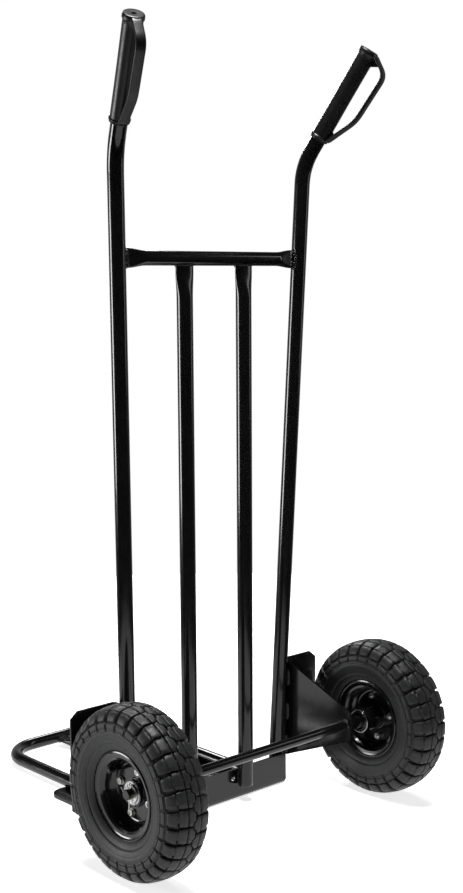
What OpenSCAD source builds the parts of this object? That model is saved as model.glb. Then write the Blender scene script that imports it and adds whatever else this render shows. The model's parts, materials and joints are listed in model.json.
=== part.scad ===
// Two-wheeled hand truck with a fold-down toe loop, millimetres, +Z up.
// Origin: on the floor, mid width, where the uprights stand on the toe plate.
// +Y is the user's side, -Y the load side, +X and -X the two wheels.

/* [Frame] */
// Outside diameter of the frame tubes
tube_d = 25; // [20:0.5:32]
// Wall of the frame tubes
tube_wall = 1.5; // [1:0.1:3]
// Half spacing of the uprights at the floor
upright_x0 = 160.5; // [140:0.5:180]
// Half spacing of the uprights where the handles bend away
upright_x1 = 191; // [160:0.5:220]
// How far back the uprights lean at the handle bend
upright_lean = 36.5; // [0:0.5:80]
// Height of the handle bend (where the two centre lines cross)
bend_z = 1038; // [900:1:1150]
// Centre line radius of the handle bend
bend_r = 100; // [60:5:150]
// Handle length from the crossing point to the tube end
handle_len = 196; // [150:1:260]
// Sideways splay of the handle for each unit of rise
handle_splay = 0.253; // [0:0.001:0.5]
// Backward slope of the handle for each unit of rise
handle_back = 0.601; // [0.2:0.001:1]
// Half spacing of the two inner tubes
inner_x = 61; // [40:0.5:90]
// Height of the lower ends of the inner tubes
inner_z0 = 27; // [15:1:50]
// Height of the crossbar's centre line
cross_z = 891; // [700:1:980]
// Outside diameter of the crossbar
cross_d = 22; // [16:0.5:28]
// Height of the flattened crossbar ends
cross_flare = 29; // [24:0.5:34]

/* [Toe] */
// Half width of the toe plate and its upright flange
toe_half_w = 168; // [140:1:200]
// Reach of the toe plate in front of the origin
toe_reach = 215; // [150:1:260]
// Sheet thickness of the toe plate
toe_t = 5; // [3:0.1:8]
// Height of the upright flange
flange_h = 53; // [40:1:70]
// Load face of the upright flange
flange_y = 14.5; // [10:0.1:20]
// Corner radius of the toe plate in plan
toe_corner = 24; // [5:1:40]
// Drain holes in the flange, diameter
drain_d = 9; // [5:0.5:12]

/* [Toe loop] */
// Tube diameter of the folding loop
loop_d = 22; // [16:0.5:26]
// Half spacing of the loop's arms
loop_x = 128; // [100:0.5:135]
// Reach of the loop's front bar in front of the origin
loop_reach = 414; // [300:1:460]
// Centre line radius of the loop's corners
loop_r = 66; // [30:1:90]
// Position of the pivot behind the origin
pivot_y = -1.6; // [-6:0.1:1]
// Height of the pivot above the floor
pivot_z = 16.3; // [14:0.1:24]
// Diameter of the pivot rod
pivot_d = 12; // [8:0.5:14]
// Radial running clearance at the pivot rod
pivot_clear = 0.08; // [0.01:0.01:0.1]
// Diameter of the loop's middle bar
mid_bar_d = 16; // [10:0.5:20]

/* [Wheels] */
// Half distance between the wheels' centre planes
track_half = 260; // [230:0.5:290]
// Distance of the axle behind the origin
axle_y = 145; // [110:0.5:170]
// Outside diameter of the tyres
tyre_d = 260; // [250:1:265]
// Overall width of the tyres
tyre_w = 77; // [70:1:90]
// Diameter of the axle
axle_d = 16; // [12:0.5:20]
// Radial running clearance of the bearings on the axle
axle_clear = 0.05; // [0.01:0.01:0.1]
// Outside radius of the rim lip
lip_r = 65.4; // [60:0.1:68]
// Distance of the rim lips from the wheel's centre plane
lip_z = 27.4; // [24:0.1:30]
// Sheet thickness of the rim halves
rim_t = 1.8; // [1.2:0.1:2.5]
// Pitch circle of the four rim bolts
bolt_pcd = 68; // [60:1:76]
// Outside diameter of the hub
hub_d = 40; // [36:0.5:44]
// Hub length on the outboard side of the centre plane
hub_out = 9; // [5:0.5:20]
// Hub length on the inboard side of the centre plane
hub_in = 45; // [30:0.5:60]
// Turn at which the +X wheel stands, degrees
turn_left = 30; // [-45:1:45]
// Turn at which the -X wheel stands, degrees
turn_right = -33; // [-45:1:45]
// Width across corners of the rim bolts and nuts
bolt_head = 11.8; // [11:0.1:15]
// Radius of the rim bolts' shanks
bolt_r = 3.1; // [2.9:0.1:4]

/* [Wheel brackets] */
// Sheet thickness of the brackets
bracket_t = 3; // [2:0.1:5]
// Inner face of the bracket web
bracket_x = 179.6; // [175:0.1:190]
// Outer edge of the guard flange
guard_x = 266; // [230:1:280]
// Height of the bracket at the guard flange
bracket_h = 168; // [120:1:200]
// Height of the bracket behind the axle
bracket_h2 = 48; // [30:1:80]
// How far the web runs behind the axle centre
bracket_tail = 13; // [10:0.5:30]
// Chamfer of the guard flange's outer corners
guard_chamfer = 14; // [0:1:30]

/* [Grips] */
// Outside diameter of the grip
grip_d = 29; // [27:0.5:34]
// Diameter of the collar and the end cap
cap_d = 32; // [30:0.5:36]
// Length of the grip with its cap
grip_len = 156; // [120:1:180]
// Distance of the grip's collar from the handle bend
grip_start = 48; // [40:1:80]
// Width of the hand guard strap
guard_w = 16; // [10:0.5:22]
// Thickness of the hand guard strap
guard_t = 5; // [3:0.5:8]
// Stand-off of the strap's centre at the top corner
guard_top = 44; // [36:0.5:55]
// Stand-off of the strap's centre at the bottom corner
guard_low = 40.5; // [34:0.5:50]
// Outward turn of the guard from straight back, degrees
guard_turn = 20; // [0:1:60]

/* [Hidden] */
$fn = 64;
eps = 0.05;
step = 0.1;
tube_r = tube_d / 2;
axle_z = tyre_d / 2;
loop_tr = loop_d / 2;
inner_y0 = flange_y + toe_t + tube_r;
inner_y1 = upright_lean * cross_z / bend_z + 2.6;
A = [upright_x0, 0, 0];
B = [upright_x1, upright_lean, bend_z];
D1 = B - A;
D2 = [handle_splay, handle_back, 1];
L1 = norm(D1);
U1 = D1 / norm(D1);
U2 = D2 / norm(D2);
bend_a = acos(U1 * U2);
bend_tl = bend_r * tan(bend_a / 2);
guard_dir = [sin(guard_turn), cos(guard_turn), 0];
wheel_r = tyre_d / 2;
hub_r = hub_d / 2;
bearing_r = 17.5;
bearing_w = 11;
hx_out = track_half + hub_out;
hx_in = track_half - hub_in;
pin_x = hx_out + 6;
axle_end = hx_out + 11.5;

// ---- vectors and outlines ----
function az(v) = atan2(v[1], v[0]);
function tilt(v) = acos(v[2] / norm(v));
function flat(v, a) = [v[0] * cos(a) + v[1] * sin(a), -v[0] * sin(a) + v[1] * cos(a), v[2]];
function level(v, t) = [v[0] * cos(t) - v[2] * sin(t), v[1], v[0] * sin(t) + v[2] * cos(t)];
function twist(e, d) = let (q = level(flat(e, az(d)), tilt(d))) atan2(q[1], q[0]);
function unit(v) = v / norm(v);
function turn(v) = [-v[1], v[0]];
// corner i of outline P rounded with radius R[i]
function corner(a, b, c, r, n = 6) = r <= 0 ? [b] :
  let (u = unit(a - b), v = unit(c - b), w = unit(u + v), h = acos(max(-1, min(1, u * v))) / 2,
    m = b + w * (r / sin(h)), s = -sign(u[0] * v[1] - u[1] * v[0]),
    p = b + u * (r / tan(h)), p0 = atan2(p[1] - m[1], p[0] - m[0]))
  [for (k = [0 : n]) m + r * [cos(p0 + s * k * (180 - 2 * h) / n), sin(p0 + s * k * (180 - 2 * h) / n)]];
function rounded(P, R) = let (n = len(P))
  [for (i = [0 : n - 1]) each corner(P[(i + n - 1) % n], P[i], P[(i + 1) % n], R[i])];
// band of thickness t along the open line P
function side_pt(P, i, t) = let (n = len(P),
    a = unit(P[max(i, 1)] - P[max(i, 1) - 1]), b = unit(P[min(i + 1, n - 1)] - P[min(i + 1, n - 1) - 1]),
    m = unit(turn(a) + turn(b)))
  P[i] + m * (t / 2 / (m * turn(a)));
function band(P, t) = concat([for (i = [0 : len(P) - 1]) side_pt(P, i, t)],
  [for (i = [len(P) - 1 : -1 : 0]) side_pt(P, i, -t)]);

module orient(d, e) rotate([0, tilt(d), az(d)]) rotate([0, 0, twist(e, d)]) children();
module flip_x() mirror([1, 0, 0]) children();
module along_x() rotate([0, 90, 0]) children();
module ring_z(r1, r2, h) difference() {
  cylinder(r = r1, h = h);
  translate([0, 0, -1]) cylinder(r = r2, h = h + 2);
}

// ---- bent upright with handle ----
module upright_line(r, over) translate(A) orient(D1, D2) {
  translate([0, 0, -over]) cylinder(r = r - step, h = L1 - bend_tl + over + 1);
  translate([bend_r, 0, L1 - bend_tl]) rotate([90, 0, 0]) rotate([0, 0, 180 - bend_a])
    rotate_extrude(angle = bend_a) translate([bend_r, 0]) circle(r = r);
  translate([bend_r * (1 - cos(bend_a)), 0, L1 - bend_tl + bend_r * sin(bend_a)])
    rotate([0, bend_a, 0]) translate([0, 0, -1])
      cylinder(r = r - step, h = handle_len - bend_tl + over + 1);
}
module side_tube_left() color([0.02, 0.02, 0.02]) difference() {
  upright_line(tube_r, 0.001);
  upright_line(tube_r - tube_wall, 30);
  translate([0, 0, toe_t - 100]) cube([900, 900, 200], center = true);
}
module side_tube_right() flip_x() side_tube_left();

// ---- inner tubes: flattened top under the crossbar, bottom on the flange ----
inner_top = cross_z - cross_d / 2 - 1;
crush = 44;
D3 = [0, inner_y1 - inner_y0, inner_top - inner_z0];
L3 = norm(D3);
module inner_tube_left() color([0.02, 0.02, 0.02]) difference() {
  translate([inner_x, inner_y0, inner_z0]) orient(D3, [1, 0, 0]) {
    difference() {
      cylinder(r = tube_r, h = L3 - crush);
      translate([0, 0, -1]) cylinder(r = tube_r - tube_wall, h = L3 - crush - 3);
    }
    hull() {
      translate([0, 0, L3 - crush - 0.01]) cylinder(r = tube_r, h = 0.01, $fn = 32);
      translate([-17, -4, L3 - 6]) cube([34, 8, 14]);
    }
  }
  translate([0, inner_y1 - 2.6, cross_z]) along_x() cylinder(r = cross_d / 2 + eps, h = 400, center = true);
  translate([inner_x - 30, 0, cross_z]) cube([60, 100, 60]);
}
module inner_tube_right() flip_x() inner_tube_left();

// ---- crossbar with flattened ends ----
cross_y = upright_lean * cross_z / bend_z;
cross_x = upright_x0 + (upright_x1 - upright_x0) * cross_z / bend_z;
module cross_end() hull() {
  translate([cross_x - 42, 0, 0]) along_x() cylinder(r = cross_d / 2 + 0.25, h = 0.01, $fn = 32);
  translate([cross_x - 18, -4.5, -cross_flare / 2]) cube([14, 9, cross_flare]);
}
module crossbar() color([0.02, 0.02, 0.02]) difference() {
  translate([0, cross_y, cross_z]) {
    along_x() cylinder(r = cross_d / 2, h = 2 * cross_x - 83, center = true);
    cross_end();
    flip_x() cross_end();
  }
  upright_line(tube_r + eps, 1);
  flip_x() upright_line(tube_r + eps, 1);
}

// ---- toe plate: flat plate with an upright flange along its back ----
fl_out = flange_y + toe_t;
toe_profile = rounded([[-toe_reach - 1, 0], [fl_out, 0], [fl_out, flange_h], [flange_y, flange_h],
  [flange_y, toe_t], [-toe_reach - 1, toe_t]], [0, 8, 0, 0, 1.5, 0]);
module toe_plate() color([0.02, 0.02, 0.02]) difference() {
  intersection() {
    rotate([90, 0, 90]) translate([0, 0, -toe_half_w]) linear_extrude(2 * toe_half_w) polygon(toe_profile);
    translate([0, 0, -1]) linear_extrude(100) polygon(rounded([[-toe_half_w, -toe_reach],
      [toe_half_w, -toe_reach], [toe_half_w, 60], [-toe_half_w, 60]], [toe_corner, toe_corner, 0, 0]));
  }
  for (s = [-1, 1]) {
    translate([s * 44, 0, 39]) rotate([-90, 0, 0]) cylinder(d = drain_d, h = 60);
    translate([s * (toe_half_w - 8), flange_y - 0.01, 8]) rotate([-90, 0, 0]) difference() {
      translate([s > 0 ? 0 : -9, 0, 0]) cube([9, 9, 30]);
      translate([0, 0, -1]) cylinder(r = 8, h = 40);
    }
  }
}

// ---- wheel brackets: web beside the upright, guard flange in front of the wheel ----
br_y = -8;
br_tail = axle_y + bracket_tail;
br_plan = rounded([[bracket_x, br_tail], [bracket_x, br_y], [guard_x, br_y], [guard_x, br_y + bracket_t],
  [bracket_x + bracket_t, br_y + bracket_t], [bracket_x + bracket_t, br_tail]], [0, 6, 0, 0, 3, 0]);
br_side = [[br_y, -bracket_h / 2], [10, -bracket_h / 2], [br_tail, -bracket_h2 / 2],
  [br_tail, bracket_h2 / 2], [10, bracket_h / 2], [br_y, bracket_h / 2]];
gc = guard_chamfer;
br_front = [[100, -bracket_h / 2], [guard_x - gc, -bracket_h / 2], [guard_x, -bracket_h / 2 + gc * 0.8],
  [guard_x, bracket_h / 2 - gc * 0.8], [guard_x - gc, bracket_h / 2], [100, bracket_h / 2]];
module bracket_left() color([0.02, 0.02, 0.02]) translate([0, 0, axle_z]) difference() {
  intersection() {
    translate([0, 0, -200]) linear_extrude(400) polygon(br_plan);
    rotate([90, 0, 90]) translate([0, 0, 100]) linear_extrude(200)
      polygon(rounded(br_side, [0, 8, 3, 3, 8, 0]));
    rotate([90, 0, 0]) translate([0, 0, -200]) linear_extrude(400) polygon(br_front);
  }
  translate([0, axle_y, 0]) along_x() cylinder(r = axle_d / 2 + eps, h = 400);
}
module bracket_right() flip_x() bracket_left();
// stitch welds that bridge the crook between upright and web
weld_z = [66, 126, 186];
module bracket_weld_left() color([0.02, 0.02, 0.02]) difference() {
  for (z = weld_z) translate([bracket_x - 4.2, upright_lean * z / bend_z + 8.5, z - 15])
    cylinder(r = 5, h = 30);
  upright_line(tube_r + eps, 1);
  translate([bracket_x - eps, -50, 0]) cube([60, 200, 300]);
}
module bracket_weld_right() flip_x() bracket_weld_left();

// ---- axle, spacers, washers, split pins ----
module axle_rod() color([0.02, 0.02, 0.02]) difference() {
  translate([0, axle_y, axle_z]) along_x() {
    cylinder(r = axle_d / 2, h = 2 * axle_end - 2, center = true);
    for (s = [0, 180]) rotate([s, 0, 0]) translate([0, 0, axle_end - 1])
      cylinder(r1 = axle_d / 2, r2 = axle_d / 2 - 1, h = 1);
  }
  for (s = [-1, 1]) translate([s * pin_x, axle_y, axle_z]) cylinder(r = 2.1, h = 40, center = true);
}
module on_axle(x) translate([x, axle_y, axle_z]) along_x() children();
sp_x0 = bracket_x + bracket_t + eps;
sp_x1 = hx_in - 2.4;
module spacer_left() color([0.02, 0.02, 0.02])
  on_axle(sp_x0) ring_z(11, axle_d / 2 + eps, sp_x1 - sp_x0);
module spacer_right() flip_x() spacer_left();
module inner_washer_left() color([0.7, 0.7, 0.7]) on_axle(sp_x1 + eps) ring_z(14, axle_d / 2 + eps, 2);
module inner_washer_right() flip_x() inner_washer_left();
module outer_washer_left() color([0.7, 0.7, 0.7]) on_axle(hx_out + 0.4) ring_z(14, axle_d / 2 + eps, 2.4);
module outer_washer_right() flip_x() outer_washer_left();
leg_r = 0.95;
module split_pin_left() color([0.7, 0.7, 0.7]) translate([pin_x, axle_y, axle_z]) {
  translate([0, 1, -24]) cylinder(r = leg_r, h = 34.5);
  translate([0, -1, -12]) cylinder(r = leg_r, h = 22.5);
  translate([0, -1, -11]) rotate([140, 0, 0]) cylinder(r = leg_r - step, h = 13);
  translate([0, 0, 13]) rotate([0, 90, 0]) rotate_extrude() translate([3, 0]) circle(r = leg_r);
}
module split_pin_right() flip_x() split_pin_left();

// ---- toe loop pivot on the frame ----
lug_x = loop_x + loop_tr + 2;
lug_t = 4;
lug_z0 = toe_t - pivot_z + 0.02;
lug_side = rounded([[-13, lug_z0], [13, lug_z0], [13, 3], [9, 11], [-9, 11], [-13, 3]],
  [0, 0, 3, 6, 6, 3]);
module pivot_lugs() color([0.02, 0.02, 0.02]) for (s = [0, 1]) mirror([s, 0, 0]) difference() {
  translate([lug_x, pivot_y, pivot_z]) rotate([90, 0, 90]) linear_extrude(lug_t) polygon(lug_side);
  translate([0, pivot_y, pivot_z]) along_x() cylinder(d = pivot_d + 2 * eps, h = 400);
}
module pivot_rod() color([0.02, 0.02, 0.02]) translate([0, pivot_y, pivot_z]) along_x()
  cylinder(d = pivot_d, h = 2 * (lug_x + lug_t + 1.5), center = true);

// ---- toe loop ----
loop_len = loop_reach + pivot_y;
module loop_line(r, over) {
  for (s = [-1, 1]) {
    translate([s * loop_x, over, 0]) rotate([90, 0, 0])
      cylinder(r = r - step, h = loop_len - loop_r + over + 1);
    translate([s * (loop_x - loop_r), -loop_len + loop_r, 0]) rotate([0, 0, s > 0 ? -90 : 180])
      rotate_extrude(angle = 90) translate([loop_r, 0]) circle(r = r);
  }
  translate([0, -loop_len, 0]) along_x()
    cylinder(r = r - step, h = 2 * (loop_x - loop_r + 1), center = true);
}
module toe_loop() color([0.02, 0.02, 0.02]) translate([0, pivot_y, pivot_z]) difference() {
  union() {
    loop_line(loop_tr, -0.5);
    for (s = [-1, 1]) intersection() {
      translate([s * loop_x, 12, 0]) rotate([90, 0, 0]) cylinder(r = loop_tr - step, h = 20);
      translate([s * loop_x, 0, 0]) union() {
        along_x() cylinder(r = loop_tr - 0.3, h = 30, center = true);
        translate([-20, -20, -20]) cube([40, 20, 40]);
      }
    }
  }
  loop_line(loop_tr - 1.5, -16);
  along_x() cylinder(r = pivot_d / 2 + pivot_clear, h = 400, center = true);
}
mid_drop = loop_tr - mid_bar_d / 2;
module loop_mid_bar() color([0.02, 0.02, 0.02]) difference() {
  translate([0, pivot_y, pivot_z - mid_drop]) {
    translate([0, -6, 0]) rotate([90, 0, 0]) cylinder(d = mid_bar_d, h = loop_len - 43.5);
    hull() {
      translate([0, -loop_len + 38.01, 0]) rotate([90, 0, 0])
        cylinder(d = mid_bar_d + 0.6, h = 0.01, $fn = 32);
      translate([-12, -loop_len + 6, -3.5]) cube([24, 10, 7]);
    }
  }
  translate([0, pivot_y, pivot_z]) {
    loop_line(loop_tr + eps, 0);
    along_x() cylinder(r = 9 + eps, h = 100, center = true);
  }
}
module loop_sleeve() color([0.02, 0.02, 0.02]) difference() {
  translate([-loop_x + loop_tr - 4, pivot_y, pivot_z]) along_x()
    ring_z(9, pivot_d / 2 + pivot_clear, 2 * (loop_x - loop_tr + 4));
  translate([0, pivot_y, pivot_z]) loop_line(loop_tr + eps, 12);
}

// ---- grips with hand guard ----
gt = guard_t / 2;
g_top = grip_len - 20;
g_low = 53;
g_out = [[0, grip_len - 1], [15, grip_len - 1], [guard_top + gt, g_top], [guard_low + gt, g_low],
  [15, 0.5], [0, 0.5]];
g_in = [[0, grip_len - 7], [14, grip_len - 7], [guard_top - gt, g_top - 3], [guard_low - gt, g_low + 2],
  [14.5, 7.5], [0, 7.5]];
module grip_left() color([0.03, 0.03, 0.03]) translate(B + U2 * grip_start) orient(D2, guard_dir)
  difference() {
    union() {
      cylinder(d = grip_d, h = grip_len - 1);
      translate([0, 0, 1.5]) cylinder(d = cap_d, h = 5);
      cylinder(d1 = cap_d - 3, d2 = cap_d, h = 1.5);
      translate([0, 0, 6.5]) cylinder(d1 = cap_d, d2 = grip_d, h = 1.5);
      translate([0, 0, grip_len - 6]) cylinder(d = cap_d, h = 4);
      translate([0, 0, grip_len - 2]) cylinder(d1 = cap_d, d2 = cap_d - 4, h = 2);
      translate([0, 0, grip_len - 8]) cylinder(d1 = grip_d, d2 = cap_d, h = 2);
      difference() {
        rotate([90, 0, 0]) translate([0, 0, -guard_w / 2]) linear_extrude(guard_w) difference() {
          polygon(rounded(g_out, [0, 4, 14, 12, 6, 0]));
          polygon(rounded(g_in, [0, 3, 10, 8, 3, 0]));
        }
        cylinder(d = grip_d - 1, h = grip_len);
      }
    }
    translate([0, 0, -1]) cylinder(d = tube_d + 0.1, h = handle_len - grip_start + 1.5);
    cylinder(d = 6, h = grip_len + 10);
  }
module grip_right() flip_x() grip_left();

// ---- wheel, drawn with its axis on Z and the outboard side up ----
module at_wheel(t = 0) translate([track_half, axle_y, axle_z]) along_x() rotate([0, 0, t]) children();
hw = tyre_w / 2;
tyre_half = [[wheel_r, 0], [wheel_r - 0.4, 10], [wheel_r - 1.6, 18], [wheel_r - 4, 25],
  [wheel_r - 8.5, hw - 7], [wheel_r - 15, hw - 3], [wheel_r - 24, hw - 0.5], [wheel_r - 33, hw],
  [wheel_r - 42, hw - 1], [wheel_r - 51, hw - 4], [wheel_r - 59, hw - 7.6], [lip_r + 1.6, lip_z + 0.6],
  [lip_r, lip_z - 1.2], [lip_r - 2, lip_z - 2.5], [60.2, 24], [56.76, 23.31], [53.84, 21.36],
  [51.89, 18.44], [51.2, 15], [53, 15.5], [57, 15.5], [62, 19], [68, 24], [76, 28.5],
  [85, 31.5], [97, 32.5], [106, 31.8], [114, 28.5], [119, 23], [121.5, 16], [122.8, 8], [123, 0]];
function both(P) = concat(P, [for (i = [len(P) - 2 : -1 : 1]) [P[i][0], -P[i][1]]]);
module tyre_left() color([0.05, 0.05, 0.05]) at_wheel() rotate_extrude($fn = 96)
  polygon(both(tyre_half));
module tyre_right() flip_x() tyre_left();
air_half = [[122.2, 0], [122, 8], [120.7, 15.6], [118.3, 22.3], [113.5, 27.7], [105.8, 31], [97, 31.7],
  [85.3, 30.7], [76.4, 27.7], [68.6, 23.3], [62.5, 18.2], [57.3, 14.6], [53.6, 12], [52.4, 9], [52, 0]];
module air_tube_left() color([0.03, 0.03, 0.03]) at_wheel() rotate_extrude($fn = 96) difference() {
  polygon(both(air_half));
  translate([87, 0]) scale([0.955, 0.955]) translate([-87, 0]) polygon(both(air_half));
}
module air_tube_right() flip_x() air_tube_left();
// sheet centre line: flat disc, well, rounded flange, curled lip
rim_line = [[hub_r + 0.05, rim_t / 2 + eps], [42, rim_t / 2 + eps], [44, 2], [45.9, 5], [49, 9],
  [50.2, 11.5], [50.2, 15], [50.96, 18.83], [53.13, 22.07], [56.37, 24.24], [60.2, 25],
  [lip_r - 2.8, lip_z - 1.6], [lip_r - 1.4, lip_z - 0.4], [lip_r - 0.9, lip_z + 1.2]];
module rim_half() difference() {
  rotate_extrude($fn = 96) polygon(band(rim_line, rim_t));
  for (k = [0 : 3]) rotate([0, 0, 45 + 90 * k])
    translate([bolt_pcd / 2, 0, -1]) cylinder(r = bolt_r + 0.25, h = 6);
}
valve_a = 200;
module valve_place() rotate([0, 0, valve_a]) translate([43.7, 0, 0]) children();
module rim_outer(t) color([0.02, 0.02, 0.02]) at_wheel(t) difference() {
  rim_half();
  valve_place() cylinder(r = 4, h = 14);
}
module rim_outer_left() rim_outer(turn_left);
module rim_outer_right() flip_x() rim_outer(turn_right);
module rim_inner(t) color([0.02, 0.02, 0.02]) at_wheel(t) mirror([0, 0, 1]) rim_half();
module rim_inner_left() rim_inner(turn_left);
module rim_inner_right() flip_x() rim_inner(turn_right);
module valve(t) color([0.03, 0.03, 0.03]) at_wheel(t) valve_place() {
  translate([0, 0, 1.5]) cylinder(r = 3.7, h = 17);
  translate([0, 0, 18.5]) cylinder(r = 4.2, h = 6.5);
}
module valve_left() valve(turn_left);
module valve_right() flip_x() valve(turn_right);
module hub_left() color([0.02, 0.02, 0.02]) at_wheel() difference() {
  translate([0, 0, -hub_in]) cylinder(r = hub_r, h = hub_in + hub_out);
  translate([0, 0, -hub_in - 1]) cylinder(r = bearing_r - 2, h = 100);
  translate([0, 0, -hub_in - 1]) cylinder(r = bearing_r, h = bearing_w + 1);
  translate([0, 0, hub_out - bearing_w]) cylinder(r = bearing_r, h = 30);
}
module hub_right() flip_x() hub_left();
br0 = axle_d / 2 + axle_clear;
bearing_sec = [[br0, 0], [br0 + 2.6, 0], [br0 + 2.9, 0.7], [14.3, 0.7], [14.7, 0], [bearing_r - 0.03, 0],
  [bearing_r - 0.03, bearing_w], [14.7, bearing_w], [14.3, bearing_w - 0.7], [br0 + 2.9, bearing_w - 0.7],
  [br0 + 2.6, bearing_w], [br0, bearing_w]];
module bearings_left() color([0.7, 0.7, 0.7]) at_wheel()
  for (z = [-hub_in, hub_out - bearing_w]) translate([0, 0, z]) rotate_extrude() polygon(bearing_sec);
module bearings_right() flip_x() bearings_left();
module around() for (k = [0 : 3]) rotate([0, 0, 45 + 90 * k]) translate([bolt_pcd / 2, 0, 0]) children();
module rim_bolts(t) color([0.8, 0.8, 0.78]) at_wheel(t) around() {
  translate([0, 0, rim_t + 0.15]) cylinder(d = bolt_head, h = 4.6, $fn = 6);
  translate([0, 0, -11]) cylinder(r = bolt_r, h = 13.2);
}
module rim_bolts_left() rim_bolts(turn_left);
module rim_bolts_right() flip_x() rim_bolts(turn_right);
module rim_nuts(t) color([0.8, 0.8, 0.78]) at_wheel(t) around() difference() {
  translate([0, 0, -rim_t - 5.6]) cylinder(d = bolt_head, h = 5.5, $fn = 6);
  translate([0, 0, -12]) cylinder(r = bolt_r + 0.05, h = 14);
}
module rim_nuts_left() rim_nuts(turn_left);
module rim_nuts_right() flip_x() rim_nuts(turn_right);

side_tube_left();
side_tube_right();
inner_tube_left();
inner_tube_right();
crossbar();
toe_plate();
bracket_left();
bracket_right();
bracket_weld_left();
bracket_weld_right();
axle_rod();
spacer_left();
spacer_right();
inner_washer_left();
inner_washer_right();
outer_washer_left();
outer_washer_right();
split_pin_left();
split_pin_right();
pivot_lugs();
pivot_rod();
grip_left();
grip_right();
toe_loop();
loop_mid_bar();
loop_sleeve();
tyre_left();
air_tube_left();
valve_left();
rim_outer_left();
rim_inner_left();
hub_left();
bearings_left();
rim_bolts_left();
rim_nuts_left();
tyre_right();
air_tube_right();
valve_right();
rim_outer_right();
rim_inner_right();
hub_right();
bearings_right();
rim_bolts_right();
rim_nuts_right();
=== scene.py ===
import json
import math
import random

import bmesh
import bpy
from mathutils import Matrix, Vector


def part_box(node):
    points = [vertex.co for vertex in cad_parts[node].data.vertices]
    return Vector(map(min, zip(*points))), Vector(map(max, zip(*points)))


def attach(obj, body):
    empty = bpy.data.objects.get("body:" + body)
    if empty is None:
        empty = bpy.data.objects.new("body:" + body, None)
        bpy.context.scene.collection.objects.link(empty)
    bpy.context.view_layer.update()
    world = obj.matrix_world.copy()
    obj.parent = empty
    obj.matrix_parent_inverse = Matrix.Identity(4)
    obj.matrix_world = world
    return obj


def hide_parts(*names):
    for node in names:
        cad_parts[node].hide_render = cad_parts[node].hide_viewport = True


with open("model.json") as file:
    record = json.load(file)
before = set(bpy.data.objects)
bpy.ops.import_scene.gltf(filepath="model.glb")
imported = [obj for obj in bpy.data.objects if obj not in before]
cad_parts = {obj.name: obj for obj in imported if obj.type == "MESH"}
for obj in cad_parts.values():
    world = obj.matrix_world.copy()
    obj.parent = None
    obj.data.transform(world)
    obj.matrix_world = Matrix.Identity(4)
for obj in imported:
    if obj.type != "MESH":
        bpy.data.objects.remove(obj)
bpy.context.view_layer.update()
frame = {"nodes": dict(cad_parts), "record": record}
cad = frame["nodes"]
scene = bpy.context.scene
rng = random.Random(11)
MM = 0.001
TAU = 2 * math.pi


# ---------------------------------------------------------------- camera
def aim_camera():
    """The viewing angle: from the user's side and +X, 0.85 m above the floor, looking slightly down."""
    eye = Vector((1.42558, 1.62283, 0.84684))
    look = Vector((-0.65285, -0.73969, -0.16321)).normalized()
    roll = -0.0106
    right = look.cross(Vector((0, 0, 1))).normalized()
    up = right.cross(look)
    right, up = (math.cos(roll) * right + math.sin(roll) * up,
                 -math.sin(roll) * right + math.cos(roll) * up)
    data = bpy.data.cameras.new("camera")
    cam = bpy.data.objects.new("camera", data)
    scene.collection.objects.link(cam)
    cam.matrix_world = Matrix.Translation(eye) @ Matrix((right, up, -look)).transposed().to_4x4()
    data.sensor_width = 36.0
    data.lens = 55.03
    data.shift_x, data.shift_y = 0.0288, 0.0751
    data.clip_start, data.clip_end = 0.05, 100
    scene.camera = cam
    return look


look = aim_camera()


# ---------------------------------------------------------------- materials
class Look:
    """A procedural material built round one Principled shader, in object coordinates."""

    def __init__(self, name, **constants):
        self.mat = bpy.data.materials.new(name)
        self.mat.use_nodes = True
        self.tree = self.mat.node_tree
        self.shader = self.tree.nodes["Principled BSDF"]
        self.coords = self.tree.nodes.new("ShaderNodeTexCoord").outputs["Object"]
        for key, value in constants.items():
            self.shader.inputs[key.replace("_", " ")].default_value = value
        self.normal = None

    def node(self, kind, **settings):
        made = self.tree.nodes.new(kind)
        for key, value in settings.items():
            if key in made.inputs:
                made.inputs[key].default_value = value
            else:
                setattr(made, key, value)
        return made

    def noise(self, scale, detail=3.0, rough=0.5, stretch=(1, 1, 1)):
        place = self.node("ShaderNodeMapping")
        place.inputs["Scale"].default_value = stretch
        self.tree.links.new(self.coords, place.inputs["Vector"])
        made = self.node("ShaderNodeTexNoise", Scale=scale, Detail=detail, Roughness=rough)
        self.tree.links.new(place.outputs["Vector"], made.inputs["Vector"])
        return made.outputs["Fac"]

    def ramp(self, source, low, high, start=0.3, end=0.7):
        made = self.node("ShaderNodeValToRGB")
        made.color_ramp.elements[0].position, made.color_ramp.elements[1].position = start, end
        made.color_ramp.elements[0].color = (*low, 1)
        made.color_ramp.elements[1].color = (*high, 1)
        self.tree.links.new(source, made.inputs["Fac"])
        return made.outputs["Color"]

    def spread(self, source, low, high, start=0.3, end=0.7):
        made = self.node("ShaderNodeMapRange")
        for key, value in zip(("From Min", "From Max", "To Min", "To Max"), (start, end, low, high)):
            made.inputs[key].default_value = value
        self.tree.links.new(source, made.inputs["Value"])
        return made.outputs["Result"]

    def mix(self, a, b, factor):
        made = self.node("ShaderNodeMix", data_type="RGBA")
        self.tree.links.new(factor, made.inputs[0])
        self.tree.links.new(a, made.inputs[6])
        self.tree.links.new(b, made.inputs[7])
        return made.outputs[2]

    def set(self, socket, source):
        self.tree.links.new(source, self.shader.inputs[socket])

    def bump(self, source, strength, depth):
        made = self.node("ShaderNodeBump", Strength=strength, Distance=depth)
        self.tree.links.new(source, made.inputs["Height"])
        if self.normal:
            self.tree.links.new(self.normal, made.inputs["Normal"])
        self.normal = made.outputs["Normal"]
        self.tree.links.new(self.normal, self.shader.inputs["Normal"])


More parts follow.
